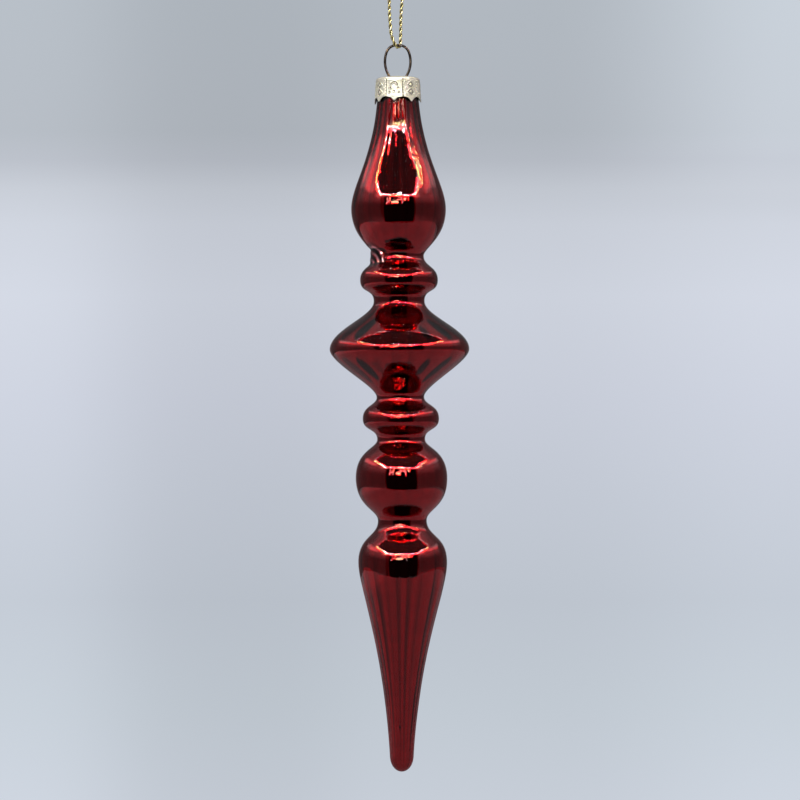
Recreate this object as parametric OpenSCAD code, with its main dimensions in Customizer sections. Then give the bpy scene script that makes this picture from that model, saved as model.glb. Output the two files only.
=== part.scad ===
// Hanging icicle ornament: a mould-blown glass drop with a mirrored lining,
// closed by a scalloped metal cap, hung by a bent wire ring on a twisted cord.
// Millimetres. +Z up. The origin is the hang point: the underside of the top
// of the cord loop, where a hook or a twig carries it. The wire ring lies in
// the XZ plane and the front is -Y.
// Depths are measured downwards from the top of the cap.

/* [Overall] */
// Height from the top of the cap to the tip of the glass
drop_h = 177.4; // [150:0.5:200]
// Wall of the blown glass
glass_wall = 0.8; // [0.6:0.05:1.2]
// Thickness of the mirror and lacquer lining inside the glass
lining_t = 0.1; // [0.08:0.01:0.3]
// Gap left between the glass and its lining
lining_gap = 0.02; // [0.01:0.01:0.05]

/* [Neck] */
// Outer radius of the straight neck inside the cap
neck_r = 5.1; // [4.2:0.05:5.3]
// Depth where the straight part of the neck ends
neck_straight = 3.6; // [3:0.1:5]
// Depth of the cut rim of the neck
rim_d = 0.85; // [0.85:0.05:1.5]
// Outer radius where the neck comes out of the cap
collar_r = 5.4; // [5:0.05:5.6]
// Depth where the neck comes out of the cap
collar_d = 6.3; // [5.8:0.1:8]
// Slope of the neck where it comes out of the cap
collar_slope = 0.09; // [0:0.01:0.3]

/* [Upper bulb] */
// Radius of the upper bulb
upper_r = 12.15; // [10:0.05:14]
// Depth of its widest line
upper_d = 33.3; // [30:0.1:38]
// Radius of the waist below it
waist1_r = 6.4; // [5:0.05:8]
// Depth of that waist
waist1_d = 45.4; // [44:0.1:48]
// Fullness of the curve from bulb to waist, upper and lower end
curve1 = [0.62, 0.16]; // [0.05:0.01:0.9]

/* [Upper ring] */
// Radius of the upper ring
ring1_r = 9.98; // [8:0.02:12]
// Depth of its widest line
ring1_d = 51.5; // [50:0.1:54]
// Fullness of the curve into the ring
curve2 = [0.43, 0.55]; // [0.05:0.01:0.9]
// Radius of the waist below the ring
waist2_r = 6.5; // [5:0.05:8]
// Depth of that waist
waist2_d = 57; // [56:0.1:60]
// Fullness of the curve out of the ring
curve3 = [0.66, 0.63]; // [0.05:0.01:0.9]

/* [Disc] */
// Radius of the wide disc
disc_r = 17.9; // [15:0.05:21]
// Depth of its edge
disc_d = 69.3; // [66:0.1:72]
// Fullness of the upper cone of the disc
curve4 = [0.31, 0.42]; // [0.05:0.01:0.9]
// Radius of the waist below the disc
waist3_r = 6.1; // [5:0.05:8]
// Depth of that waist
waist3_d = 81.5; // [80:0.1:84]
// Fullness of the lower cone of the disc
curve5 = [0.28, 0.23]; // [0.05:0.01:0.9]

/* [Lower ring] */
// Radius of the lower ring
ring2_r = 9.8; // [8:0.05:12]
// Depth of its widest line
ring2_d = 87.05; // [86:0.05:90]
// Fullness of the curve into the ring
curve6 = [0.38, 0.65]; // [0.05:0.01:0.9]
// Radius of the waist below the ring
waist4_r = 6.13; // [5:0.01:8]
// Depth of that waist
waist4_d = 92.35; // [91:0.05:96]
// Fullness of the curve out of the ring
curve7 = [0.62, 0.56]; // [0.05:0.01:0.9]

/* [Ball] */
// Radius of the ball
ball_r = 11.73; // [10:0.01:13]
// Depth of its widest line
ball_d = 102.2; // [100:0.1:105]
// Fullness of the curve into the ball
curve8 = [0.22, 0.73]; // [0.05:0.01:0.9]
// Radius of the waist below the ball
waist5_r = 6.25; // [5:0.05:8]
// Depth of that waist
waist5_d = 113.1; // [112:0.1:116]
// Fullness of the curve out of the ball
curve9 = [0.7, 0.26]; // [0.05:0.01:0.9]

/* [Lower drop] */
// Radius of the long lower drop
lower_r = 11.4; // [10:0.05:13]
// Depth of its widest line
lower_d = 123.9; // [120:0.1:128]
// Fullness of the curve into the drop
curve10 = [0.39, 0.65]; // [0.05:0.01:0.9]
// Radius just above the rounded tip
tip_r = 3.03; // [2.5:0.01:4]
// Height of the rounded tip
tip_h = 3.7; // [2:0.1:6]
// Slope of the cone just above the tip
tip_slope = 0.06; // [0.02:0.01:0.15]

/* [Cap] */
// Sheet thickness of the cap
cap_t = 0.25; // [0.2:0.01:0.4]
// Running gap between the neck and the cap
cap_gap = 0.3; // [0.02:0.01:0.4]
// Outer radius at the points of the skirt
cap_low_r = 5.95; // [5.8:0.05:6.5]
// Depth of the points of the skirt
cap_h = 6.2; // [5.8:0.1:8]
// Depth of the notches between the points
cap_notch = 4.85; // [4:0.05:6]
// Number of points round the skirt
cap_points = 8; // [6:1:12]
// Turn of the first notch from the right-hand side
cap_phase = 13; // [0:1:45]
// Rounding of the top edge
cap_round = 0.7; // [0.3:0.1:1.5]
// Length of each wire slot in the top
slot_l = 2.6; // [1.5:0.1:3]
// Width of each wire slot
slot_w = 0.85; // [0.75:0.05:1.2]
// Distance of each slot centre from the axis
slot_x = 2.3; // [2:0.05:3]

/* [Wire] */
// Diameter of the wire
wire_d = 0.66; // [0.5:0.02:1]
// Half the inside-to-centre width of the ring at its widest
ring_w = 3.27; // [2.5:0.01:4]
// Height of the ring's widest line above the cap
ring_mid = 4.4; // [3:0.1:5]
// Height of the ring's top centre line above the cap
ring_top = 8.6; // [6:0.1:10]
// Length of the straight crown of the ring, where the cord carries it
ring_flat = 0.6; // [0.4:0.1:1.5]
// Radius of the two sides of the ring
side_r = 7; // [5:0.1:10]
// Radius of the bend where each leg turns outwards again
leg_bend = 2.4; // [1.5:0.1:4]
// Outward lean of the legs inside the neck, degrees
leg_lean = 6; // [2:0.5:8]
// Length of the straight part of each leg
leg_l = 11; // [8:0.5:16]

/* [Cord] */
// Diameter of the twisted cord
cord_d = 0.8; // [0.6:0.05:1.2]
// Half the distance between the two strands above the ring
strand_x = 1.75; // [1.2:0.01:2.5]
// Turn of the cord loop from the plane of the ring, degrees
cord_turn = 40; // [30:1:90]
// Depth of the wire below the centre of the cord bend
wire_drop = 0.8; // [0.4:0.05:0.9]
// Length of the parallel strands above the ring
strand_l = 13; // [8:0.5:20]
// Radius of the open top of the loop
loop_r = 5; // [4:0.1:8]
// Angle by which the strands lean outwards
loop_open = 20; // [10:1:35]
// Height of the loop's top centre line above the cord bend's centre
loop_h = 51; // [45:0.5:70]
// Radius of the wraps of the knot
knot_r = 0.95; // [0.8:0.05:1.5]
// Length of the cord ends above the knot
tail_l = 6; // [3:0.5:12]

/* [Hidden] */
$fn = 64;
steps = 8;
// half the gap that a knuckle closes between two lengths of bar
trim = 0.02;
wire_r = wire_d / 2;
cord_r = cord_d / 2;
// height of the cord bend's centre, of the ring's top and of the cap's top
bend_z = -(loop_h - cord_r);
ring_z = bend_z - wire_drop;
cap_z = ring_z - ring_top;
cone_d = drop_h - tip_h;

// cubic curve and its direction
function cub(p, t) = pow(1 - t, 3) * p[0] + 3 * pow(1 - t, 2) * t * p[1]
    + 3 * (1 - t) * t * t * p[2] + pow(t, 3) * p[3];
function cubd(p, t) = 3 * pow(1 - t, 2) * (p[1] - p[0])
    + 6 * (1 - t) * t * (p[2] - p[1]) + 3 * t * t * (p[3] - p[2]);
// curve between two upright ends, each given as radius and depth
function upright(a, b, f) = [a, [a[0], a[1] + f[0] * (b[1] - a[1])],
    [b[0], b[1] - f[1] * (b[1] - a[1])], b];

p_upper = [upper_r, upper_d];
p_w1 = [waist1_r, waist1_d];
p_ring1 = [ring1_r, ring1_d];
p_w2 = [waist2_r, waist2_d];
p_disc = [disc_r, disc_d];
p_w3 = [waist3_r, waist3_d];
p_ring2 = [ring2_r, ring2_d];
p_w4 = [waist4_r, waist4_d];
p_ball = [ball_r, ball_d];
p_w5 = [waist5_r, waist5_d];
p_lower = [lower_r, lower_d];
p_tip = [tip_r, cone_d];

curves = [
    [[neck_r, neck_straight], [neck_r, neck_straight + 1],
        [collar_r - collar_slope, collar_d - 1], [collar_r, collar_d]],
    [[collar_r, collar_d], [collar_r + 14.4 * collar_slope, collar_d + 14.4],
        [upper_r, upper_d - 0.22 * (upper_d - collar_d)], p_upper],
    upright(p_upper, p_w1, curve1),
    upright(p_w1, p_ring1, curve2),
    upright(p_ring1, p_w2, curve3),
    upright(p_w2, p_disc, curve4),
    upright(p_disc, p_w3, curve5),
    upright(p_w3, p_ring2, curve6),
    upright(p_ring2, p_w4, curve7),
    upright(p_w4, p_ball, curve8),
    upright(p_ball, p_w5, curve9),
    upright(p_w5, p_lower, curve10),
    [p_lower, [lower_r, lower_d + 0.137 * (cone_d - lower_d)],
        [tip_r + 29 * tip_slope, cone_d - 29], p_tip],
    [p_tip, [tip_r - 0.55 * tip_h * tip_slope, cone_d + 0.55 * tip_h],
        [0.55 * tip_r, drop_h], [0, drop_h]]
];

// the wall line moved inwards by k along the surface normal, top to tip
function inset(k) = concat([[neck_r - k, rim_d]],
    [for (c = curves) for (i = [0 : steps - 1])
        let (t = i / steps, p = cub(c, t), d = cubd(c, t))
            [p[0] - k * d[1] / norm(d), p[1] + k * d[0] / norm(d)]],
    [[0, drop_h - k]]);
function down(pts) = [for (p = pts) [p[0], -p[1]]];
function rev(v) = [for (i = [len(v) - 1 : -1 : 0]) v[i]];

// which part is drawn

// the blown glass: open at the neck, closed at the tip
module glass_body() {
    color([0.62, 0.02, 0.06, 0.4])
    translate([0, 0, cap_z])
    rotate_extrude()
        polygon(concat(down(inset(0)), rev(down(inset(glass_wall)))));
}

// the silvered and lacquered layer on the inside of the glass
module mirror_lining() {
    k = glass_wall + lining_gap;
    color([0.7, 0.02, 0.06])
    translate([0, 0, cap_z])
    rotate_extrude()
        polygon(concat(down(inset(k)), rev(down(inset(k + lining_t)))));
}

// outside of the cap as a half section, k moves it inwards
module cap_section(k) {
    r_in = neck_r + cap_gap;
    r_top = r_in + cap_t;
    n = 6;
    pts = concat([[0, -k]],
        [for (i = [0 : n]) let (a = 90 - 90 * i / n)
            [r_top - cap_round + (cap_round - k) * cos(a),
             -cap_round + (cap_round - k) * sin(a)]],
        [[r_top - k, -2], [r_top - k + 0.12, -3.5]],
        k > 0 ? [[cap_low_r - k, -cap_h - 1], [0, -cap_h - 1]]
              : [[cap_low_r, -cap_h], [0, -cap_h]]);
    polygon(pts);
}

// one opening between two points of the skirt: a narrow slit, shoulders, slopes
module scallop() {
    half = PI * cap_low_r / cap_points;
    rotate([90, 0, 90])
    linear_extrude(height = 10)
        polygon([[-0.12, -cap_notch + 0.45], [0.12, -cap_notch + 0.45],
            [0.2, -cap_notch], [0.5 * half, -cap_notch - 0.25],
            [0.75 * half, -cap_notch - 0.8], [half + 0.05, -cap_h - 0.05],
            [-half - 0.05, -cap_h - 0.05], [-0.75 * half, -cap_notch - 0.8],
            [-0.5 * half, -cap_notch - 0.25], [-0.2, -cap_notch]]);
}

// the stamped cap with its scalloped skirt and the two wire slots
module cap() {
    color([0.86, 0.82, 0.68])
    translate([0, 0, cap_z])
    difference() {
        rotate_extrude() cap_section(0);
        rotate_extrude() cap_section(cap_t);
        for (i = [0 : cap_points - 1])
            rotate([0, 0, -90 + cap_phase + i * 360 / cap_points]) scallop();
        for (s = [-1, 1])
            translate([s * slot_x, 0, -1]) {
                cube([slot_l - slot_w, slot_w, 4], center = true);
                for (e = [-1, 1])
                    translate([e * (slot_l - slot_w) / 2, 0, 0])
                        cylinder(d = slot_w, h = 4, center = true);
            }
    }
}

// an arc of round bar in the XZ plane, centre (cx, cz), from angle a0 through sweep
module bar_arc(cx, cz, r, a0, sweep, rod) {
    g = trim / r * 180 / PI;
    translate([cx, 0, cz])
    rotate([90, 0, 0])
    rotate([0, 0, a0 + g])
    rotate_extrude(angle = sweep - 2 * g) translate([r, 0]) circle(r = rod);
}

// a straight round bar in the XZ plane from (x, z), tilted by a from straight up
module bar(x, z, l, a, rod) {
    translate([x, 0, z]) rotate([0, a, 0])
        translate([0, 0, trim]) cylinder(r = rod, h = l - 2 * trim);
}

// the joint between two lengths of bar
module knuckle(x, z, rod) {
    translate([x, 0, z]) sphere(r = rod + trim);
}

// the bent wire: a ring above the cap and two legs splayed inside the neck
module wire_hanger() {
    f = ring_flat / 2;
    sx = side_r - ring_w + f;               // from a half's own axis to the centre of its side arc
    h = ring_top - ring_mid;
    top_r = (side_r * side_r - sx * sx - h * h) / (2 * (side_r - h));
    top_z = h - top_r;
    a_t = atan2(top_z, sx);                 // where a side meets the top
    a_c = asin((ring_mid - 0.3) / side_r);  // where a side meets the leg bend
    bx = -sx + (side_r + leg_bend) * cos(a_c);   // centre of the leg bend
    bz = ring_mid - (side_r + leg_bend) * sin(a_c);
    lx = bx - leg_bend * cos(leg_lean);
    lz = bz - leg_bend * sin(leg_lean);
    color([0.14, 0.11, 0.1])
    translate([0, 0, cap_z]) {
        bar(-f, ring_top, ring_flat, 90, wire_r);
        for (s = [-1, 1]) rotate([0, 0, s < 0 ? 180 : 0]) translate([f, 0, 0]) {
            knuckle(0, ring_top, wire_r);
            bar_arc(0, ring_mid + top_z, top_r, a_t, 90 - a_t, wire_r);
            knuckle(-sx + side_r * cos(a_t), ring_mid + side_r * sin(a_t), wire_r);
            bar_arc(-sx, ring_mid, side_r, -a_c, a_c + a_t, wire_r);
            knuckle(-sx + side_r * cos(a_c), ring_mid - side_r * sin(a_c), wire_r);
            bar_arc(bx, bz, leg_bend, 180 - a_c, leg_lean + a_c, wire_r);
            knuckle(lx, lz, wire_r);
            bar(lx + leg_l * sin(leg_lean), lz - leg_l * cos(leg_lean),
                leg_l, -leg_lean, wire_r);
        }
    }
}

// one wrap of the knot
module wrap() {
    rotate_extrude() translate([knot_r, 0]) circle(r = cord_r);
}

// the cord: bend round the wire, two strands, open top, knot and two ends
module cord_loop() {
    flare = (loop_r - strand_x) / (2 * (1 - cos(loop_open)));
    z2 = strand_l + 2 * flare * sin(loop_open);
    z3 = loop_h - loop_r;
    color([0.83, 0.72, 0.42])
    translate([0, 0, bend_z]) rotate([0, 0, cord_turn]) {
        bar_arc(0, 0, strand_x, 180, 180, cord_r);
        bar_arc(0, z3, loop_r, 0, 180, cord_r);
        for (s = [-1, 1]) rotate([0, 0, s < 0 ? 180 : 0]) {
            knuckle(strand_x, 0, cord_r);
            bar(strand_x, 0, strand_l, 0, cord_r);
            knuckle(strand_x, strand_l, cord_r);
            bar_arc(strand_x + flare, strand_l, flare, 180 - loop_open, loop_open, cord_r);
            knuckle((strand_x + loop_r) / 2, (strand_l + z2) / 2, cord_r);
            bar_arc(loop_r - flare, z2, flare, -loop_open, loop_open, cord_r);
            knuckle(loop_r, z2, cord_r);
            bar(loop_r, z2, z3 - z2, 0, cord_r);
            knuckle(loop_r, z3, cord_r);
        }
        translate([0, 0, loop_h + 0.55]) {
            rotate([0, 40, 20]) wrap();
            rotate([0, -40, -20]) wrap();
            translate([0, 0.12, 0]) bar(0.5, 0.5, tail_l, 14, cord_r);
            translate([0, -0.15, 0]) bar(-0.5, 0.5, tail_l - 0.8, -18, cord_r);
        }
    }
}

glass_body();
mirror_lining();
cap();
wire_hanger();
cord_loop();
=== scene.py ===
import math
import bpy
import numpy as np
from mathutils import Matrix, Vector


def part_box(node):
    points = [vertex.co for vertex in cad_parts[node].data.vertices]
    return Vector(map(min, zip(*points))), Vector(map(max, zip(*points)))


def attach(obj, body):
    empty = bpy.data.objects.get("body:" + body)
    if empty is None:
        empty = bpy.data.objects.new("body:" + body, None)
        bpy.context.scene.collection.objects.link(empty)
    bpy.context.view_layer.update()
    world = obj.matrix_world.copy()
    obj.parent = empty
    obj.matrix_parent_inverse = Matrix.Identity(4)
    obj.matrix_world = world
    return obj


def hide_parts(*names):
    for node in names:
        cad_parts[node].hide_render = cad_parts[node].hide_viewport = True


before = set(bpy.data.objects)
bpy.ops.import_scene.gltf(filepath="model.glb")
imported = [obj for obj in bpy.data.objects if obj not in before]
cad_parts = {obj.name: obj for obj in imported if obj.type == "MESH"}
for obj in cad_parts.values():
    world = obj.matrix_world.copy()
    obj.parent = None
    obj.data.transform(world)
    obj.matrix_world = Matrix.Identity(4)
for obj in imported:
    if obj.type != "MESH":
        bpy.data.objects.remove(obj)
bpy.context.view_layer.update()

MM = 0.001
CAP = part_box("cap")
CZ = CAP[1].z / MM                      # top of the cap, mm
RING_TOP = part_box("wire_hanger")[1].z / MM   # top of the wire, mm
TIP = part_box("glass_body")[0].z / MM
DROP = CZ - TIP                         # cap top to tip
TAU = 2 * math.pi


# ----------------------------------------------------------------- materials
def principled(name, color, rough=0.5, metal=0.0, trans=0.0, ior=1.5, **extra):
    m = bpy.data.materials.new(name)
    m.use_nodes = True
    b = m.node_tree.nodes["Principled BSDF"]
    b.inputs["Base Color"].default_value = (*color, 1)
    b.inputs["Roughness"].default_value = rough
    b.inputs["Metallic"].default_value = metal
    b.inputs["Transmission Weight"].default_value = trans
    b.inputs["IOR"].default_value = ior
    for k, v in extra.items():
        b.inputs[k.replace("_", " ")].default_value = v
    return m, m.node_tree, b


class E:
    """A value in a node tree, so that sums can be written as sums."""

    def __init__(self, nt, sock):
        self.nt, self.s = nt, sock

    def _op(self, op, *args, clamp=False):
        n = self.nt.nodes.new("ShaderNodeMath")
        n.operation = op
        n.use_clamp = clamp
        for i, a in enumerate((self,) + args):
            if isinstance(a, E):
                self.nt.links.new(a.s, n.inputs[i])
            else:
                n.inputs[i].default_value = a
        return E(self.nt, n.outputs[0])

    def __add__(self, o): return self._op("ADD", o)
    def __radd__(self, o): return self._op("ADD", o)
    def __sub__(self, o): return self._op("SUBTRACT", o)
    def __rsub__(self, o): return (self * -1.0) + o
    def __mul__(self, o): return self._op("MULTIPLY", o)
    def __rmul__(self, o): return self._op("MULTIPLY", o)
    def __truediv__(self, o): return self._op("DIVIDE", o)
    def __neg__(self): return self * -1.0
    def abs(self): return self._op("ABSOLUTE")
    def sqrt(self): return self._op("SQRT")
    def sin(self): return self._op("SINE")
    def max(self, o): return self._op("MAXIMUM", o)
    def min(self, o): return self._op("MINIMUM", o)
    def pow(self, o): return self._op("POWER", o)
    def clamp(self): return self._op("ADD", 0.0, clamp=True)

    def step(self, a, b):
        """0 below a, 1 above b, smooth between them; a may be above b."""
        n = self.nt.nodes.new("ShaderNodeMapRange")
        n.interpolation_type = "SMOOTHSTEP"
        self.nt.links.new(self.s, n.inputs[0])
        if a < b:
            n.inputs[1].default_value, n.inputs[2].default_value = a, b
            return E(self.nt, n.outputs[0])
        n.inputs[1].default_value, n.inputs[2].default_value = b, a
        return 1.0 - E(self.nt, n.outputs[0])


def rgb(nt, c):
    n = nt.nodes.new("ShaderNodeRGB")
    n.outputs[0].default_value = (*c, 1)
    return n.outputs[0]


def mixc(nt, f, a, b, mode="MIX"):
    n = nt.nodes.new("ShaderNodeMix")
    n.data_type = "RGBA"
    n.blend_type = mode
    for i, v in ((0, f), (6, a), (7, b)):
        if isinstance(v, E):
            v = v.s
        if isinstance(v, (int, float)):
            n.inputs[i].default_value = v
        elif isinstance(v, tuple):
            n.inputs[i].default_value = (*v, 1)
        else:
            nt.links.new(v, n.inputs[i])
    return n.outputs[2]


def noise(nt, scale, detail=2.0, rough=0.5, vec=None, coord="Object"):
    n = nt.nodes.new("ShaderNodeTexNoise")
    n.inputs["Scale"].default_value = scale
    n.inputs["Detail"].default_value = detail
    n.inputs["Roughness"].default_value = rough
    if vec is None:
        t = nt.nodes.new("ShaderNodeTexCoord")
        vec = t.outputs[coord]
    nt.links.new(vec, n.inputs["Vector"])
    return E(nt, n.outputs["Fac"])


def bump(nt, bsdf, height, strength, dist):
    n = nt.nodes.new("ShaderNodeBump")
    n.inputs["Strength"].default_value = strength
    n.inputs["Distance"].default_value = dist
    nt.links.new(height.s, n.inputs["Height"])
    nt.links.new(n.outputs[0], bsdf.inputs["Normal"])


# ------------------------------------------------------------------- meshing
def make(name, verts, faces, mat, smooth=True):
    me = bpy.data.meshes.new(name)
    me.from_pydata([tuple(v) for v in verts], [], faces)
    me.update()
    me.materials.append(mat)
    if smooth:
        me.polygons.foreach_set("use_smooth", [True] * len(me.polygons))
    o = bpy.data.objects.new(name, me)
    bpy.context.collection.objects.link(o)
    return o


def grid_faces(rows, cols, start=0, wrap=True, flip=False):
    """Quads between rows of cols points each, the columns joined round."""
    i = np.arange(rows - 1)[:, None] * cols + start
    j = np.arange(cols if wrap else cols - 1)[None, :]
    k = (j + 1) % cols
    q = np.stack([i + j, i + k, i + cols + k, i + cols + j], -1).reshape(-1, 4)
    return (q[:, ::-1] if flip else q).tolist()


def tube(path, radius, sides=12, closed=False, section=None, twist=None):
    """Vertices and faces of a tube along path (n, 3); section gives a radius for each angle, twist an angle for each point."""
    p = np.asarray(path, float)
    n = len(p)
    t = np.gradient(p, axis=0)
    t /= np.linalg.norm(t, axis=1)[:, None]
    up = np.zeros_like(p)
    a = np.cross(t[0], [0.3, 1.0, 0.2])
    up[0] = a / np.linalg.norm(a)
    for i in range(1, n):
        a = up[i - 1] - t[i] * np.dot(up[i - 1], t[i])
        up[i] = a / np.linalg.norm(a)
    side = np.cross(t, up)
    ang = np.arange(sides) * TAU / sides
    r = np.full((n, sides), 1.0) * (np.asarray(radius).reshape(-1, 1) if np.ndim(radius) else radius)
    if section is not None:
        r = r * section(ang)[None, :]
    tw = np.zeros(n) if twist is None else np.asarray(twist)
    c, s = np.cos(ang[None, :] + tw[:, None]), np.sin(ang[None, :] + tw[:, None])
    v = p[:, None, :] + r[..., None] * (c[..., None] * up[:, None, :] + s[..., None] * side[:, None, :])
    verts = v.reshape(-1, 3).tolist()
    faces = grid_faces(n, sides)
    verts.append(p[0].tolist()); verts.append(p[-1].tolist())
    e0, e1 = n * sides, n * sides + 1
    for k in range(sides):
        faces.append([e0, (k + 1) % sides, k])
        faces.append([e1, (n - 1) * sides + k, (n - 1) * sides + (k + 1) % sides])
    return verts, faces


def join(parts):
    verts, faces = [], []
    for v, f in parts:
        o = len(verts)
        verts += v
        faces += [[i + o for i in q] for q in f]
    return verts, faces


def spline(points, n, closed=False):
    """Catmull-Rom through points, n samples evenly spaced by length."""
    p = np.asarray(points, float)
    q = np.vstack([2 * p[0] - p[1], p, 2 * p[-1] - p[-2]])
    out = []
    for i in range(1, len(q) - 2):
        for t in np.linspace(0, 1, 24, endpoint=False):
            a, b, c, d = q[i - 1], q[i], q[i + 1], q[i + 2]
            out.append(0.5 * (2 * b + (c - a) * t + (2 * a - 5 * b + 4 * c - d) * t * t + (3 * b - a - 3 * c + d) * t ** 3))
    out.append(q[-2])
    out = np.array(out)
    s = np.concatenate([[0], np.cumsum(np.linalg.norm(np.diff(out, axis=0), axis=1))])
    u = np.linspace(0, s[-1], n)
    return np.stack([np.interp(u, s, out[:, k]) for k in range(3)], 1), s[-1]


def wobble(x, y, z, seed):
    """Smooth, repeatable unevenness of about +-1 from a few sines."""
    rs = np.random.RandomState(seed)
    out = 0
    for _ in range(7):
        k = rs.normal(size=3)
        out = out + np.sin(k[0] * x + k[1] * y + k[2] * z + rs.uniform(0, TAU))
    return out / 3.2


# ------------------------------------------------------------ glass profile
def cub(p, t):
    t = t[:, None]
    return (1 - t) ** 3 * p[0] + 3 * (1 - t) ** 2 * t * p[1] + 3 * (1 - t) * t * t * p[2] + t ** 3 * p[3]


def upright(a, b, f):
    return [a, (a[0], a[1] + f[0] * (b[1] - a[1])), (b[0], b[1] - f[1] * (b[1] - a[1])), b]


TH = 3.7
cone = DROP - TH
st = dict(up=(12.15, 33.3), w1=(6.4, 45.4), r1=(9.98, 51.5), w2=(6.5, 57.0), disc=(17.9, 69.3), w3=(6.1, 81.5),
          r2=(9.8, 87.05), w4=(6.13, 92.35), ball=(11.73, 102.2), w5=(6.25, 113.1), low=(11.4, 123.9), tip=(3.03, cone))
curves = [
    [(5.1, 3.6), (5.1, 4.6), (5.31, 5.3), (5.4, 6.3)],
    [(5.4, 6.3), (5.4 + 1.296, 20.7), (12.15, 33.3 - 0.22 * 27), st["up"]],
    upright(st["up"], st["w1"], (0.62, 0.16)),
    upright(st["w1"], st["r1"], (0.43, 0.55)),
    upright(st["r1"], st["w2"], (0.66, 0.63)),
    upright(st["w2"], st["disc"], (0.31, 0.42)),
    upright(st["disc"], st["w3"], (0.28, 0.23)),
    upright(st["w3"], st["r2"], (0.38, 0.65)),
    upright(st["r2"], st["w4"], (0.62, 0.56)),
    upright(st["w4"], st["ball"], (0.22, 0.73)),
    upright(st["ball"], st["w5"], (0.7, 0.26)),
    upright(st["w5"], st["low"], (0.39, 0.65)),
    [st["low"], (11.4, 123.9 + 0.137 * (cone - 123.9)), (3.03 + 1.74, cone - 29), st["tip"]],
    [st["tip"], (3.03 - 0.55 * TH * 0.06, cone + 0.55 * TH), (0.55 * 3.03, DROP), (0.02, DROP)],
]
dense = [np.array([[5.1, 0.85]])]
for c in curves:
    dense.append(cub(np.array(c, float), np.linspace(0, 1, 80, endpoint=False)))
dense.append(np.array([[0.02, DROP]]))
dense = np.vstack(dense)                        # radius, depth


def profile(rows, k=0.0):
    """rows points down the wall, moved inwards by k mm, closer together where the curve is tight. Gives r, depth."""
    d = np.gradient(dense, axis=0)
    ln = np.linalg.norm(d, axis=1)
    t = d / ln[:, None]
    kap = np.abs(np.gradient(np.unwrap(np.arctan2(t[:, 1], t[:, 0])))) / ln
    kap = np.convolve(np.minimum(kap, 0.8), np.ones(15) / 15, "same")
    nrm = np.stack([t[:, 1], -t[:, 0]], 1)      # outwards
    p = dense - k * nrm
    w = np.concatenate([[0], np.cumsum(np.linalg.norm(np.diff(dense, axis=0), axis=1) * (1 + 2.2 * kap[1:] + 3.0 * ((dense[1:, 1] > 42.2) & (dense[1:, 1] < 49.6) & (k < 0.7))))])
    u = np.linspace(0, w[-1], rows)
    r = np.interp(u, w, p[:, 0])
    z = np.interp(u, w, p[:, 1])
    r[-1] = 0.0
    return np.maximum(r, 0.0), z


BEND = np.array([(0, 0), (60, 0), (76, 0.05), (85, 0.26), (103, 0.36), (120, 0.56), (134, 0.5), (147, 0.3), (155, 0.2), (175, 0), (200, 0)])


AMP = [(0, 0), (4, 0), (7, .13), (20, .10), (33, .035), (40, .018), (46, .01), (58, .02), (66, .045), (69.3, .012), (73, .045), (82, .012),
       (100, .010), (118, .015), (125, .04), (134, .10), (160, .085), (171, .05), (200, 0)]


def ribs(phi, d, shift=0.0):
    """Optic ribs in mm: lobes with narrow valleys, strong on the neck and the long cone. Gives the offset and how near a valley is."""
    w = phi + 0.055 * np.sin(2 * phi + 1.1) + 0.035 * np.sin(5 * phi + 0.4) + 0.012 * np.sin(d * 0.09 + 3 * phi)
    s = np.sin(10 * w + 0.35 + shift)
    lobe = np.sqrt(s * s + 0.006) - 0.64
    amp = np.interp(d, [a[0] for a in AMP], [a[1] for a in AMP])
    amp = amp * (1 + 0.40 * np.sin(3 * phi + 0.9) + 0.2 * np.sin(7 * phi + 2.1))
    return amp * lobe, amp * np.exp(-(s / 0.26) ** 2), w


def fold(x, d):
    """The glass fold as seen from the front: distance from its lower corner, where it is, and its ridges."""
    rho = np.hypot(x + 7.5, (d - 47.5) * 0.80)
    on = np.clip((4.5 - rho) / 0.5, 0, 1) * np.clip((48.9 - d) / 1.0, 0, 1) * np.clip((-3.1 - x) / 0.5, 0, 1)
    return rho, on, np.cos((rho - 0.12) * TAU / 1.22)


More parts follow.
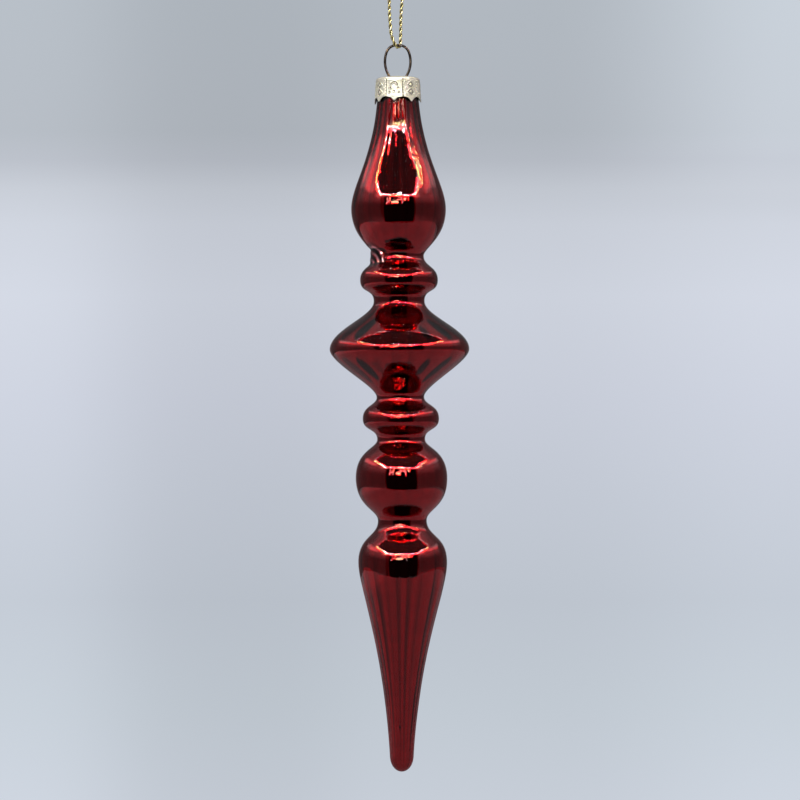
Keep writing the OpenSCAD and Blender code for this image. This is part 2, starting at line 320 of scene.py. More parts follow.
def skin(rows, cols, k, what):
    """Points of the wall moved inwards by k: (rows, cols, 3) in mm."""
    r, d = profile(rows, k)
    phi = np.arange(cols) * TAU / cols
    R, P = np.meshgrid(r, phi, indexing="ij")
    D = np.meshgrid(d, phi, indexing="ij")[0]
    x, y = np.sin(P), -np.cos(P)
    fade = np.clip(r / 2.0, 0, 1)[:, None]
    fine = np.interp(D, [0, 40, 44, 62, 66, 78, 82, 96, 99, 108, 111, 118, 121, 200], [.25, .25, 1, 1, .3, .3, 1, 1, .12, .12, .8, .8, .15, .1])
    if what == "outer":
        dr = ribs(P, D)[0] + 0.020 * wobble(x * 2.1, y * 2.1, D * 0.35, 3) + 0.006 * wobble(x * 8, y * 8, D * 1.5, 12) + 0.0015 * fine * wobble(x * 24, y * 24, D * 4.0, 31)
    else:
        dr = 0.9 * ribs(P, D, 0.3)[0] + 0.055 * wobble(x * 2.3, y * 2.3, D * 0.40, 8) + 0.012 * wobble(x * 9, y * 9, D * 1.9, 5) + 0.0035 * fine * wobble(x * 26, y * 26, D * 4.2, 21)
    dr = dr * fade * np.clip((D - 4) / 3, 0, 1)
    R = np.maximum(R + dr, 0)
    if what == "outer" or k < 0.7:
        # a fold of clear glass that fills the left of the first waist
        rho, on, ridge = fold(R * x, D)
        side_ = np.clip((-x - 0.25) / 0.25, 0, 1)
        side_ = side_ * side_ * (3 - 2 * side_)
        want = 7.42 - 0.5 * np.clip(rho / 4.4, 0, 1) ** 2 - k
        R = R + (np.maximum(want - R, 0) + 0.05 * ridge) * on * side_
    cx = np.interp(D, BEND[:, 0], BEND[:, 1])
    return np.stack([cx + R * x, R * y, CZ - D], -1)


def shell(name, outer, inner, mat):
    """A closed shell from two skins that share their column count: outside, rim, inside, with one point at each tip."""
    ro, c = outer.shape[:2]
    ri = inner.shape[0]
    vo = outer[:-1].reshape(-1, 3)
    vi = inner[:-1].reshape(-1, 3)
    to, ti = outer[-1].mean(0), inner[-1].mean(0)
    verts = np.vstack([vo, vi, to[None], ti[None]]) * MM
    faces = grid_faces(ro - 1, c, 0, flip=True)
    no = (ro - 1) * c
    faces += grid_faces(ri - 1, c, no)
    j = np.arange(c); k = (j + 1) % c
    faces += np.stack([j, k, no + k, no + j], 1).tolist()           # rim
    a = no + (ri - 1) * c
    faces += np.stack([(ro - 2) * c + k, (ro - 2) * c + j, np.full(c, a)], 1).tolist()
    faces += np.stack([no + (ri - 2) * c + j, no + (ri - 2) * c + k, np.full(c, a + 1)], 1).tolist()
    return make(name, verts, faces, mat)


# ------------------------------------------------------------------- glass
m_glass, nt, b = principled("clear_glass", (1.0, 0.91, 0.92), rough=0.0, trans=1.0, ior=1.5)
bump(nt, b, noise(nt, 260, 2.0), 0.05, 0.0004)

m_coat, nt, b = principled("red_mirror", (0.42, 0.014, 0.009), rough=0.0, metal=1.0)
# near black where painted shade falls (rib valleys, under the cap, between the fold's ridges) and on the dark lens
# marks of the disc
att = nt.nodes.new("ShaderNodeAttribute"); att.attribute_name = "painted_shade_and_dark_lenses"
cloud = noise(nt, 420, 3.0, 0.6)
base = mixc(nt, cloud.step(0.3, 0.75), (0.36, 0.010, 0.014), (0.46, 0.014, 0.019))
# painted shade: darker red bands across the ribs
painted_rib_shade = nt.nodes.new("ShaderNodeAttribute"); painted_rib_shade.attribute_name = "painted_rib_shade"
base = mixc(nt, painted_rib_shade.outputs["Fac"], base, (0.14, 0.006, 0.007))
# painted highlight: pale pink along the crests of the fold's ridges
painted_fold_highlight = nt.nodes.new("ShaderNodeAttribute"); painted_fold_highlight.attribute_name = "painted_fold_highlight"
base = mixc(nt, painted_fold_highlight.outputs["Fac"], base, (0.95, 0.62, 0.66))
dark = mixc(nt, att.outputs["Fac"], base, (0.004, 0.002, 0.002))
nt.links.new(dark, b.inputs["Base Color"])
bump(nt, b, noise(nt, 260, 1.0), 0.06, 0.0003)

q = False
COLS = 130 if q else 240
RO, RI = (180, 90) if q else (272, 136)
glass = shell("glass_shell", skin(RO, COLS, 0.0, "outer"), skin(RI, COLS, 0.76, "inner"), m_glass)
coat_out = skin(RO, COLS, 0.66, "inner")
coat = shell("mirror_coat", coat_out, skin(RI, COLS, 0.82, "inner"), m_coat)

# places on the disc that read dark slate grey, as lens shapes between the ribs
vals = np.zeros(len(coat.data.vertices))
pts = np.array([v.co for v in coat.data.vertices]) / MM
ph = np.degrees(np.arctan2(pts[:, 0], -pts[:, 1]))
dd = CZ - pts[:, 2]


def petal(a0, a1, z0, z1, wid, deep=1.0):
    """A dark lens from azimuth a0 at depth z0 to a1 at z1, wid degrees half-width."""
    global vals
    t = (dd - z0) / (z1 - z0)
    da = (ph - (a0 + (a1 - a0) * t) + 180) % 360 - 180
    half = wid * np.sqrt(np.clip(1 - (2 * t - 1) ** 2, 0, 1)) + 1e-3
    vals = np.maximum(vals, np.where((t > 0) & (t < 1), np.clip((1.1 - np.abs(da) / half) / 0.25, 0, 1) * deep, 0))


UPPER = [(-34, -41, 61.6, 67.2, 7.0, 1), (23, 26, 64.0, 67.2, 4.2, .95), (41, 50, 62.2, 67.4, 7.0, 1), (-53, -60, 59.8, 67.4, 8, .8), (-71, -78, 59, 67.4, 9, .8),
         (60, 67, 59.6, 67.2, 8, .75), (78, 84, 59.4, 67.2, 9, .75), (98, 102, 62, 67, 6.5, 1), (122, 118, 62.4, 67, 6, .9), (141, 138, 62.2, 67, 6.5, 1),
         (160, 163, 63, 67.2, 5, .8), (-97, -94, 62, 67, 6.5, 1), (-118, -122, 62.4, 67.2, 6, .9), (-140, -137, 62, 67, 6.5, 1), (-163, -166, 62.8, 67, 5.5, .9)]
LOWER = [(-41, -34, 71.5, 76.9, 6.6, 1), (28, 23.5, 71.9, 75.9, 4.6, .95), (53, 40.5, 71.0, 77.6, 5.8, 1), (-26, -21, 72.3, 75.4, 4.5, .35), (-60, -53, 71, 77.5, 8, .75),
         (-80, -73, 71, 77.6, 8, .6), (72, 62, 71, 77.6, 6, .5), (100, 94, 71.6, 76.8, 6, 1), (120, 122, 72, 76.4, 5.5, .9), (138, 144, 71.8, 76.6, 6, 1),
         (164, 160, 72, 76.2, 5, .8), (-100, -95, 71.7, 76.8, 6, 1), (-121, -117, 72, 76.5, 5.5, .9), (-142, -138, 71.8, 76.6, 6, 1), (-168, -163, 72, 76.2, 5, .8)]
for args in UPPER + LOWER:
    petal(*args)
# painted shade: dark in the valleys between the ribs, more so towards the sides, and under the cap's scalloped edge
_, valley, wv_ = ribs(np.radians(ph), dd, 0.3)
idx = np.round((10 * wv_ + 0.65) / math.pi)
vary = 0.55 + 0.45 * np.sin(idx * 2.4 + 0.7)
vary = vary * np.clip(0.42 + np.abs(ph) / 55.0, 0, 1)
vals = np.maximum(vals, np.clip(valley * 16.0, 0, 1) * vary)
edge = np.interp(np.abs(((ph - 13.0) % 45) / 45 * 2 - 1), [0, .2, .36, .52, .9, 1.0], [6.9, 6.7, 6.4, 6.2, 6.1, 5.9])
vals = np.maximum(vals, np.clip((edge - dd) / 0.3, 0, 1) * 0.97)
# painted shade across the ribs: darker red by rib phase, strongest where the ribs are deep
amp_ = np.interp(dd, [a[0] for a in AMP], [a[1] for a in AMP]) / 0.13
painted_rib_shades = np.clip(amp_ * (0.30 + 0.42 * np.sin(20 * wv_ + 1.9) + 0.26 * np.sin(27 * wv_ + 0.4) + 0.20 * np.sin(13 * wv_ + dd * 0.02)) * 1.25, 0, 1)
# painted shade and painted highlight on the clear fold: dark arcs between its ridges, pale pink arcs along their crests
rho, on, ridge = fold(pts[:, 0], dd)
on = on * np.clip((-pts[:, 0] - 2.9) / 0.6, 0, 1)
vals = np.maximum(vals * (1 - on), on * np.clip(0.5 - 0.9 * ridge, 0, 1))
painted_fold_highlights = on * np.clip(ridge, 0, 1) * 0.75
for nm, arr in (("painted_rib_shade", painted_rib_shades), ("painted_fold_highlight", painted_fold_highlights)):
    at = coat.data.attributes.new(nm, "FLOAT", "POINT")
    at.data.foreach_set("value", arr.astype(np.float32))
at = coat.data.attributes.new("painted_shade_and_dark_lenses", "FLOAT", "POINT")
at.data.foreach_set("value", vals.astype(np.float32))
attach(glass, "glass"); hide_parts("glass_body")
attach(coat, "glass"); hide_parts("mirror_lining")

# --------------------------------------------------------------------- cap
N = 8
PHASE = 13.0                                     # first notch, degrees right of the front
m_cap, nt, b = principled("cap_metal", (0.93, 0.90, 0.80), rough=0.3, metal=0.55)
worn = noise(nt, 1500, 3.0, 0.6)
# darkened towards near black in the stamped grooves, and as painted shade over the whole inside of the cap
att = nt.nodes.new("ShaderNodeAttribute"); att.attribute_name = "groove_dark_and_inner_shade"
clean = mixc(nt, worn.step(0.35, 0.7), (0.72, 0.79, 0.70), (0.80, 0.87, 0.80))
nt.links.new(mixc(nt, (E(nt, att.outputs["Fac"]) * (worn * 0.6 + 0.7)).clamp(), clean, (0.06, 0.055, 0.05)), b.inputs["Base Color"])
nt.links.new((worn * 0.16 + 0.26).s, b.inputs["Roughness"])
bump(nt, b, noise(nt, 2600, 2.0), 0.08, 0.00010)
C = 480 if q else 720
phi = np.arange(C) * TAU / C
p = ((np.degrees(phi) - PHASE) % 45) / 45 * 2 - 1      # -1, 1 at the notches, 0 at a point
panel = np.floor(((np.degrees(phi) - PHASE) % 360) / 45).astype(int)
ap = np.abs(p)
low = np.interp(ap, [0, .07, .2, .36, .52, .72, .9, .945, .975, 1.0], [6.32, 6.22, 5.88, 5.52, 5.32, 5.24, 5.18, 5.12, 4.75, 4.55])
low = low + 0.10 * np.sin(phi * 3 + 0.5) + 0.05 * np.sin(phi * 11)
r_in, t_c = 5.4, 0.25
r_top, rd = r_in + t_c, 0.62


def cap_line(s):
    """Outer section of the cap at s mm along it from the flat top's edge: r, depth."""
    arc = rd * math.pi / 2
    a = np.clip(s / arc, 0, 1) * math.pi / 2
    r = r_top - rd + rd * np.sin(a)
    z = rd - rd * np.cos(a)
    e = np.maximum(s - arc, 0)
    z = z + e
    r = r + np.interp(z, [rd, 2.0, 3.5, 4.6, 5.4, 6.4], [0, 0, .07, .17, .27, .38]) * (s > arc)
    return r, z


def relief(pp, z, pan):
    """Stamped pattern: height in mm outwards, and how dark its grooves are made. Diamonds on even panels, arches on odd
    ones.
    """
    a = np.abs(pp)
    even = (pan % 2 == 0).astype(float)
    line = lambda v, w: np.exp(-(v / w) ** 2)
    seam = line(1 - a, 0.075) * (1 + 0.5 * np.sin(z * 9 + pan * 2.0))
    h = -0.13 * seam + 0.07 * line(1 - a - 0.15, 0.05)
    g = 0.75 * seam
    for zc in (2.15, 3.95):
        dm = a / 0.36 + np.abs(z - zc) / 0.80
        ridge, groove = line(dm - 1.28, 0.16), line(dm - 0.9, 0.20)
        boss = line(np.hypot(pp / 0.11, (z - zc) / 0.24), 1.0)
        h = h + even * (0.10 * ridge - 0.09 * groove + 0.12 * boss)
        g = g + even * (0.85 * groove + 0.3 * line(np.hypot(pp / 0.18, (z - zc) / 0.38) - 1, 0.25))
    rr = np.hypot(pp * 2.0, z - 2.3)
    up_ = (z < 2.5).astype(float)
    for rad, k in ((0.95, 1.0), (0.52, 0.8)):
        h = h + (1 - even) * up_ * k * (0.10 * line(rr - rad, 0.10) - 0.08 * line(rr - rad + 0.2, 0.08))
        g = g + (1 - even) * up_ * k * 0.75 * line(rr - rad + 0.2, 0.13)
    for zc, pc in ((3.0, 0.45), (3.0, -0.45), (3.9, 0.0), (4.1, 0.55), (4.1, -0.55)):
        rr = np.hypot((pp - pc) * 2.1, z - zc)
        h = h + (1 - even) * (0.09 * line(rr - 0.32, 0.09) - 0.07 * line(rr - 0.12, 0.10))
        g = g + (1 - even) * 0.6 * line(rr - 0.13, 0.14)
    for zc, pc in ((1.5, 0.66), (3.05, 0.62), (4.55, 0.60)):
        rr = np.hypot((a - pc) * 2.1, z - zc)
        h = h + even * (0.08 * line(rr - 0.26, 0.08) - 0.05 * line(rr, 0.12))
        g = g + even * 0.55 * line(rr, 0.16)
    hatch = np.clip((z - 4.75) / 0.2, 0, 1) * np.clip((0.5 - a) / 0.1, 0, 1)
    h = h + 0.035 * hatch * np.sin(z * 17)
    top = line(z - 0.95, 0.10)
    h = h + 0.05 * top
    k = np.clip((z - 0.5) / 0.4, 0, 1)
    return h * k, np.clip(g * k, 0, 1)


rows = 84
groove_dark_and_inner_shade = []
us = np.linspace(0, 1, rows)
verts = []
top_n = 10
for i in range(top_n):                                          # flat top, with a faint pressed ring
    rr = (r_top - rd) * (i + 1) / (top_n + 1)
    zz = 0.05 * math.exp(-((rr - 3.6) / 0.25) ** 2)
    verts.append(np.stack([rr * np.sin(phi), -rr * np.cos(phi), np.full(C, CZ - zz)], 1))
    groove_dark_and_inner_shade.append(np.zeros(C))
end_s = low - rd + rd * math.pi / 2
for u in us:
    s = u * end_s
    r, z = cap_line(s)
    h, g = relief(p, z, panel)
    r = r + h + 0.05 * np.sin(4 * phi + 1) * z / 6
    groove_dark_and_inner_shade.append(g)
    verts.append(np.stack([r * np.sin(phi), -r * np.cos(phi), CZ - z], 1))
# inside wall of the cap, darkened throughout as painted shade
for u in us[::-1][::3]:
    s = u * end_s
    r, z = cap_line(s)
    inner = r - t_c + 0.5 * relief(p, z, panel)[0] + 0.05 * np.sin(4 * phi + 1) * z / 6
    verts.append(np.stack([inner * np.sin(phi), -inner * np.cos(phi), CZ - np.maximum(z, t_c)], 1))
    groove_dark_and_inner_shade.append(np.full(C, 0.6))
# underside of the top, also darkened as painted shade
for i in range(6)[::-1]:
    rr = (r_top - rd - 0.3) * (i + 1) / 7
    verts.append(np.stack([rr * np.sin(phi), -rr * np.cos(phi), np.full(C, CZ - t_c)], 1))
    groove_dark_and_inner_shade.append(np.full(C, 0.6))
nr = len(verts)
V = np.vstack(verts)
V = np.vstack([V, [[0, 0, CZ]], [[0, 0, CZ - t_c]]]) * MM
F = grid_faces(nr, C, 0, flip=True)
j = np.arange(C); k = (j + 1) % C
F += np.stack([k, j, np.full(C, nr * C)], 1)[:, ::-1].tolist()
F += np.stack([(nr - 1) * C + j, (nr - 1) * C + k, np.full(C, nr * C + 1)], 1)[:, ::-1].tolist()
cap = make("cap_shell", V, F, m_cap)
at = cap.data.attributes.new("groove_dark_and_inner_shade", "FLOAT", "POINT")
at.data.foreach_set("value", np.concatenate(groove_dark_and_inner_shade + [np.zeros(2)]).astype(np.float32))
for sgn in (-1, 1):                                            # the two wire slots
    n = 24
    ang = np.arange(n) * TAU / n
    sx = 1.75 / 2
    ox = np.where(np.cos(ang) >= 0, sx, -sx)
    ring = np.stack([sgn * 2.3 + ox + 0.43 * np.cos(ang), 0.43 * np.sin(ang)], 1)
    vv = [(x * MM, y * MM, (CZ + dz) * MM) for dz in (-1.2, 1.0) for x, y in ring]
    ff = [[i, (i + 1) % n, n + (i + 1) % n, n + i] for i in range(n)] + [list(range(n))[::-1], list(range(n, 2 * n))]
    cut = make("cut", vv, ff, m_cap, False)
    md = cap.modifiers.new("slot", "BOOLEAN"); md.operation = "DIFFERENCE"; md.solver = "EXACT"; md.object = cut
    bpy.context.view_layer.objects.active = cap
    bpy.ops.object.modifier_apply(modifier=md.name)
    bpy.data.objects.remove(cut)
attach(cap, "cap"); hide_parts("cap")

# -------------------------------------------------------------------- wire
m_wire, nt, b = principled("dark_wire", (0.07, 0.06, 0.056), rough=0.28, metal=1.0)
age = noise(nt, 1800, 3.0, 0.6)
nt.links.new(mixc(nt, age.step(0.45, 0.72), (0.055, 0.05, 0.048), (0.24, 0.19, 0.17)), b.inputs["Base Color"])
bump(nt, b, noise(nt, 5200, 2.0), 0.12, 0.00008)


def wire_half(side):
    """Centre line of one half of the wire from the crown down to the leg's end, mm, x outwards."""
    side_r, ring_w, f, top, mid, bend, lean, leg = 7.0, 3.27, 0.3, 8.6, 4.4, 2.4, math.radians(6), 11.0
    sx = side_r - ring_w + f
    hh = top - mid
    tr = (side_r ** 2 - sx ** 2 - hh ** 2) / (2 * (side_r - hh))
    tz = hh - tr
    at_ = math.atan2(tz, sx)
    ac = math.asin((mid - 0.3) / side_r)
    pts = [(0.0, top)]
    for t in np.linspace(math.pi / 2, at_, 16): pts.append((f + tr * math.cos(t), mid + tz + tr * math.sin(t)))
    for t in np.linspace(at_, -ac, 22)[1:]: pts.append((f - sx + side_r * math.cos(t), mid + side_r * math.sin(t)))
    bx, bz = -sx + (side_r + bend) * math.cos(ac), mid - (side_r + bend) * math.sin(ac)
    for t in np.linspace(math.pi - ac, math.pi + lean, 12)[1:]: pts.append((f + bx + bend * math.cos(t), bz + bend * math.sin(t)))
    x, z = pts[-1]
    for t in np.linspace(0, leg, 14)[1:]: pts.append((x + t * math.sin(lean), z - t * math.cos(lean)))
    a = np.array(pts)
    return np.stack([side * a[:, 0], 0 * a[:, 0], CZ + a[:, 1]], 1)


half_r, half_l = wire_half(1), wire_half(-1)
line = np.vstack([half_l[::-1], half_r[1:]])
line, _ = spline(line, 260)
line[:, 1] += 0.05 * np.sin((line[:, 2] - CZ) * 0.5)
wv, wf = tube(line * MM, 0.33 * MM, 16)
wire = make("wire_ring", wv, wf, m_wire)
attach(wire, "wire"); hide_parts("wire_hanger")

# -------------------------------------------------------------------- cord
m_cord, nt, b = principled("gold_cord", (0.80, 0.68, 0.33), rough=0.34, metal=0.75)
fib = noise(nt, 2600, 2.0)
# painted shade: dark olive where the plies face the core, between them
att = nt.nodes.new("ShaderNodeAttribute"); att.attribute_name = "ply_gap_shade"
gold = mixc(nt, fib.step(0.34, 0.6), (0.55, 0.57, 0.21), (1.0, 1.0, 0.66))
nt.links.new(mixc(nt, E(nt, att.outputs["Fac"]).step(0.25, 0.39), (0.085, 0.075, 0.018), gold), b.inputs["Base Color"])
bump(nt, b, noise(nt, 6000, 2.0), 0.35, 0.00015)
WZ = RING_TOP - 0.33                                    # wire centre at the ring's top
cp = [(0.45, 0.12, 6.6 + 0.6), (0.35, 0.1, 4.6), (0.2, 0.45, 2.6), (0.9, 0.3, 1.2), (0.2, -0.75, 0.4), (-0.95, -0.1, 0.9), (-0.3, 0.75, 1.6),
      (0.75, 0.35, 0.9), (1.9, 0.5, 0.1), (3.3, 1.3, -0.9), (4.25, 1.9, -3.2), (4.5, 2.2, -6.5), (4.3, 2.25, -12), (3.5, 2.0, -22),
      (2.1, 1.6, -33), (1.0, 1.1, -42), (0.78, 0.9, WZ + 3.0), (0.74, 0.86, WZ + 1.2), (0.6, 0.74, WZ + 0.05), (0.28, 0.46, WZ - 0.50),
      (-0.12, -0.02, WZ - 0.64), (-0.46, -0.52, WZ - 0.42), (-0.78, -0.80, WZ + 0.15), (-1.15, -0.86, WZ + 1.15), (-1.62, -0.9, WZ + 2.6),
      (-1.86, -1.0, WZ + 5.0), (-2.04, -1.1, WZ + 8.0), (-2.1, -1.2, -40), (-2.5, -1.5, -33), (-3.4, -1.9, -22), (-4.3, -2.2, -12), (-4.5, -2.2, -6.5), (-4.2, -1.9, -3.2),
      (-3.3, -1.3, -0.9), (-1.9, -0.6, 0.2), (-0.8, -0.5, 1.2), (0.3, -0.8, 1.7), (0.95, 0.05, 1.0), (0.3, 0.8, 0.5), (-0.8, 0.45, 1.1),
      (-0.35, -0.15, 2.5), (-0.7, -0.15, 4.2), (-1.35, -0.1, 5.9)]
core, length = spline(cp, 900 if q else 1500)
u = np.linspace(0, length, len(core))
t = np.gradient(core, axis=0); t /= np.linalg.norm(t, axis=1)[:, None]
up = np.zeros_like(core); a = np.cross(t[0], [0.3, 1, 0.2]); up[0] = a / np.linalg.norm(a)
for i in range(1, len(core)):
    a = up[i - 1] - t[i] * np.dot(up[i - 1], t[i]); up[i] = a / np.linalg.norm(a)
sd = np.cross(t, up)
sq = 1 - 0.30 * np.exp(-((np.linalg.norm(core - np.array([-0.1, 0.0, WZ - 0.5]), axis=1)) / 0.8) ** 2)     # squeezed where it bears on the wire
parts = []
for s in (0, 1):                                        # two plies laid round each other
    al = TAU * u / 3.1 + s * math.pi
    off = 0.205 * sq[:, None] * (np.cos(al)[:, None] * up + np.sin(al)[:, None] * sd)
    parts.append(tube((core + off) * MM, 0.235 * sq * MM, 14, section=lambda g: 1 + 0.07 * np.cos(7 * g), twist=-TAU * u / 1.3))
cv, cf = join(parts)
cord = make("cord_twist", cv, cf, m_cord)
cc = np.array(cv) / MM
# painted shade between the plies, from each point's distance to the core
ply_gap_shade = []
for half in np.array_split(cc, 2):
    body = half[:len(core) * 14].reshape(len(core), 14, 3)
    ply_gap_shade.append(np.linalg.norm(body - core[:, None, :], axis=2).ravel() / np.repeat(sq, 14))
    ply_gap_shade.append([0.3, 0.3])
at = cord.data.attributes.new("ply_gap_shade", "FLOAT", "POINT")
at.data.foreach_set("value", np.concatenate(ply_gap_shade).astype(np.float32))
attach(cord, "cord"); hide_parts("cord_loop")

# ------------------------------------------------------- floor and surroundings
m_floor, nt, b = principled("floor_paper", (0.44, 0.56, 0.68), rough=0.9)
nt.links.new(mixc(nt, noise(nt, 6, 3.0), (0.42, 0.54, 0.66), (0.45, 0.575, 0.70)), b.inputs["Base Color"])
n = 96
fv = [(0.85 * math.sin(i * TAU / n), 0.85 * math.cos(i * TAU / n), -0.40) for i in range(n)]
floor = make("floor", fv, [list(range(n))[::-1]], m_floor, False)
# a card under the ornament that only its reflections see
m_card = bpy.data.materials.new("card_glow"); m_card.use_nodes = True
ct = m_card.node_tree; ct.nodes.clear()
ce = ct.nodes.new("ShaderNodeEmission"); co_ = ct.nodes.new("ShaderNodeOutputMaterial")
ce.inputs[0].default_value = (1.0, 0.74, 0.80, 1)
cp_ = ct.nodes.new("ShaderNodeTexCoord"); cs_ = ct.nodes.new("ShaderNodeSeparateXYZ")
ct.links.new(cp_.outputs["Object"], cs_.inputs[0])
cx_ = E(ct, cs_.outputs[0])
ct.links.new((cx_.step(-0.20, -0.38) * 0.16 + cx_.step(0.12, 0.4) * 0.05 + noise(ct, 9.0, 3.0) * 0.10 + 0.225).s, ce.inputs[1])
ct.links.new(ce.outputs[0], co_.inputs[0])
cvs = [(0.62 * math.sin(a), 0.203 - 0.50 * math.cos(a), -0.308) for a in (i * TAU / 64 for i in range(64))]
card = make("reflector_card", cvs, [list(range(64))], m_card, False)
card.visible_camera = False
card.visible_diffuse = False
card.visible_shadow = False
floor.visible_glossy = False
floor.visible_transmission = False

world = bpy.data.worlds.new("studio")
bpy.context.scene.world = world
world.use_nodes = True
nt = world.node_tree
nt.nodes.clear()
tc = nt.nodes.new("ShaderNodeTexCoord")
sep = nt.nodes.new("ShaderNodeSeparateXYZ")
nt.links.new(tc.outputs["Generated"], sep.inputs[0])
X, Y, Z = (E(nt, sep.outputs[i]) for i in range(3))

# walls and floor of the light tent
wall = Z.step(-0.15, -0.62) * 0.15 + 0.11 + Z.step(0.12, 0.42) * 0.28
wall = wall * (1.0 - Y.step(0.35, 0.75) * Z.abs().step(0.10, 0.3) * 0.62)
wall = wall + Y.step(0.88, 1.0) * 0.16
sway = noise(nt, 2.2, 3.0, 0.5, tc.outputs["Generated"])
wall = wall * (sway * 0.5 + 0.75)
# dark front opening
fy = (-Y).max(0.02)
gx, gz = X / fy, Z / fy
wave = (gx * 9.0).sin() * 0.03
inside = gx.abs().step(0.93, 0.86) * (gz + wave).step(-1.45, -1.35) * gz.step(0.62, 0.56) * Y.step(-0.05, -0.12)
# dark hole in the ceiling, ringed by lamp strips
zc = Z.max(0.02)
px, py = X / zc, Y / zc
wx_ = noise(nt, 15.0, 1.0, 0.5, tc.outputs["Generated"]) - 0.5
wy_ = noise(nt, 19.0, 1.0, 0.5, tc.outputs["Generated"]) - 0.5
hole = px.abs().step(1.32, 1.2) * py.step(-1.70, -1.62) * py.step(0.22, 0.14) * Z.step(0.02, 0.08)
dark = inside.max(hole)
lum = wall * (1.0 - dark) + dark * 0.006 + hole * (1.0 - inside) * 0.06


def seg(a, b):
    """Distance from (px, py) to the segment a-b on the ceiling plane."""
    dx, dy = b[0] - a[0], b[1] - a[1]
    l2 = dx * dx + dy * dy
    qx, qy = px + wx_ * 0.22, py + wy_ * 0.22
    tt = (((qx - a[0]) * dx + (qy - a[1]) * dy) * (1 / l2)).clamp()
    ex, ey = qx - a[0] - tt * dx, qy - a[1] - tt * dy
    return (ex * ex + ey * ey).sqrt()


A, B, Cc, D, Ee, Ff = (-0.85, -1.68), (0.85, -1.68), (1.28, -1.36), (1.10, 0.2), (-1.10, 0.2), (-1.28, -1.36)
front = seg(A, B)
sides = seg(B, Cc).min(seg(Cc, D)).min(seg(D, Ee)).min(seg(Ee, Ff)).min(seg(Ff, A))
gate = Z.step(0.03, 0.1)
beads = noise(nt, 17.0, 2.0, 0.5, tc.outputs["Generated"])
back = Y.step(0.05, 0.35)
glow = (front.step(0.026, 0.012) + sides.step(0.017, 0.008) * 0.75 * (1.0 - back * 0.95) * (1.0 - py.step(-0.8, -0.4) * 0.965)).clamp() * gate * (beads.step(0.43, 0.49) * 0.98 + 0.02)
second = (seg((-0.62, -1.86), (0.75, -1.84)).step(0.03, 0.012) * 0.8 + seg((1.40, -1.42), (1.25, 0.1)).min(seg((-1.42, -1.42), (-1.22, 0.1))).step(0.022, 0.008) * 0.7 * (1.0 - back)) \
    * gate * (noise(nt, 30.0, 1.0, 0.5, tc.outputs["Generated"])).step(0.46, 0.56)
tint = noise(nt, 13.0, 1.0, 0.5, tc.outputs["Generated"])
corner = (((px.abs() - 1.62) * (px.abs() - 1.62) + (py + 1.25) * (py + 1.25)).sqrt()).step(0.62, 0.1) * gate
band = (px.abs() - 1.66).abs().step(0.42, 0.08) * py.step(-0.7, -0.1) * py.step(1.9, 1.1) * gate
halo = sides.step(0.55, 0.0) * gate * (1.0 - dark) * (1.0 - back) * 0.5 + corner * (1.0 - dark) * 0.9 + band * 1.2


def lamp(x, z, w, hgt):
    return (gx - x).abs().step(w, w * 0.6) * (gz - z).abs().step(hgt, hgt * 0.6) * Y.step(-0.1, -0.2)


warm = lamp(-0.16, 0.24, 0.10, 0.055) + lamp(-0.36, 0.40, 0.035, 0.06) * 0.8 + lamp(0.36, 0.40, 0.035, 0.08) * 0.9
cool = lamp(-0.62, 0.22, 0.05, 0.06) * 0.5 + lamp(-0.47, 0.30, 0.13, 0.018) * 0.6 + lamp(0.02, 0.34, 0.22, 0.016) * 0.8 + lamp(0.21, 0.25, 0.018, 0.09) * 0.6 + lamp(-0.40, 0.20, 0.02, 0.03) * 0.5
pink = lamp(-0.58, 0.44, 0.03, 0.10) + lamp(-0.06, 0.44, 0.02, 0.11) + lamp(0.15, 0.40, 0.022, 0.10)
dots = noise(nt, 26.0, 0.0, 0.5, tc.outputs["Generated"])
spark = dots.step(0.74, 0.80) * hole * 0.5


def emit(col, strength):
    n = nt.nodes.new("ShaderNodeBackground")
    n.inputs[0].default_value = (*col, 1)
    if isinstance(strength, E):
        nt.links.new(strength.s, n.inputs[1])
    else:
        n.inputs[1].default_value = strength
    return n.outputs[0]


def addsh(*s):
    out = s[0]
    for x in s[1:]:
        n = nt.nodes.new("ShaderNodeAddShader")
        nt.links.new(out, n.inputs[0]); nt.links.new(x, n.inputs[1])
        out = n.outputs[0]
    return out


env = addsh(emit((0.99, 0.92, 0.97), lum), emit((1.0, 0.55, 0.57), halo), emit((1.0, 0.97, 0.95), glow * tint.step(0.40, 0.5) * 330.0 + spark), emit((1.0, 0.72, 0.22), second * 190.0), emit((1.0, 0.25, 0.75), glow * tint.step(0.5, 0.40) * 150.0),
            emit((1.0, 0.82, 0.45), warm * 20.0), emit((1.0, 0.93, 0.93), cool * 11.0 + pink * 5.0))

# backdrop seen by the camera only, with painted light and shade: darker towards the top, lighter at the sides
sw = nt.nodes.new("ShaderNodeSeparateXYZ")
nt.links.new(tc.outputs["Window"], sw.inputs[0])


def srgb(c):
    return tuple(((v / 255) / 12.92 if v <= 10 else (((v / 255) + 0.055) / 1.055) ** 2.4) for v in c)


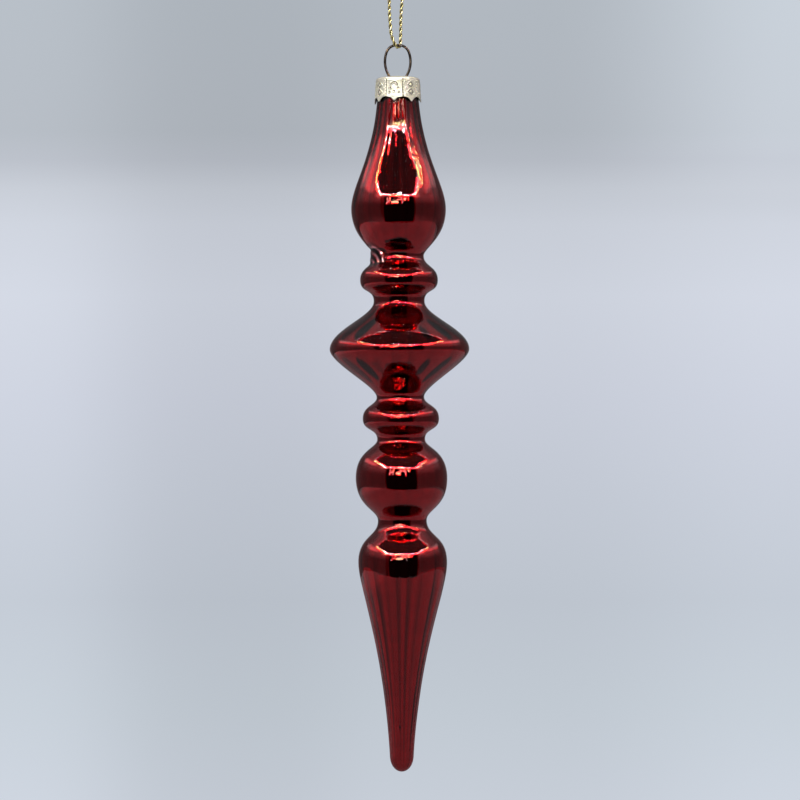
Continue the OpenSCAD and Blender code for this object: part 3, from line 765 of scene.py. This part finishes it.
ramp = nt.nodes.new("ShaderNodeValToRGB")
nt.links.new(sw.outputs[1], ramp.inputs[0])
stops = [(0.0, (198, 205, 215)), (0.12, (193, 201, 210)), (0.25, (189, 196, 206)), (0.38, (194, 200, 211)), (0.5, (199, 204, 216)),
         (0.63, (204, 209, 220)), (0.72, (200, 205, 215)), (0.765, (193, 198, 207)), (0.80, (181, 186, 195)), (0.835, (176, 182, 190)), (1.0, (177, 184, 192))]
els = ramp.color_ramp.elements
els[0].position, els[0].color = stops[0][0], (*srgb(stops[0][1]), 1)
els[1].position, els[1].color = stops[-1][0], (*srgb(stops[-1][1]), 1)
for pos, c in stops[1:-1]:
    e = els.new(pos); e.color = (*srgb(c), 1)
wx = E(nt, sw.outputs[0])
wy = E(nt, sw.outputs[1])
# painted light at the left and right edges, strongest high on the right, and a faint painted shade left of centre
side = wx.step(0.3, 0.0) * 0.10 + wx.step(0.68, 1.0) * (wy.step(0.74, 0.84) * 0.24 + 0.09) - (wx.step(0.06, 0.22) * wx.step(0.5, 0.34)) * 0.055 + 1.0
grain = noise(nt, 3.0, 4.0, 0.5, tc.outputs["Window"]) * 0.02 + 0.99
bg = nt.nodes.new("ShaderNodeBackground")
nt.links.new(ramp.outputs[0], bg.inputs[0])
nt.links.new((side * grain).s, bg.inputs[1])
lp = nt.nodes.new("ShaderNodeLightPath")
mx = nt.nodes.new("ShaderNodeMixShader")
nt.links.new(lp.outputs["Is Camera Ray"], mx.inputs[0])
nt.links.new(env, mx.inputs[1]); nt.links.new(bg.outputs[0], mx.inputs[2])
out = nt.nodes.new("ShaderNodeOutputWorld")
nt.links.new(mx.outputs[0], out.inputs[0])

# ------------------------------------------------------------------- camera
S, DIST = 0.2561, 580.0
cam = bpy.data.cameras.new("camera")
cam.sensor_width = 36
cam.lens = 36 * DIST / (800 * S)
cam.clip_start, cam.clip_end = 0.01, 20
co = bpy.data.objects.new("camera", cam)
bpy.context.collection.objects.link(co)
co.location = (0.08 * MM, -DIST * MM, (CZ - (400 - 78.8) * S) * MM)
co.rotation_mode = "XYZ"
co.rotation_euler = (math.radians(90), math.radians(0.0), 0)
co.rotation_euler.rotate_axis("Z", math.radians(-0.33))
bpy.context.scene.camera = co
bpy.context.scene.view_settings.view_transform = "Standard"
bpy.context.scene.cycles.sample_clamp_indirect = 0.0      # small bright lamps stay white in the red mirror
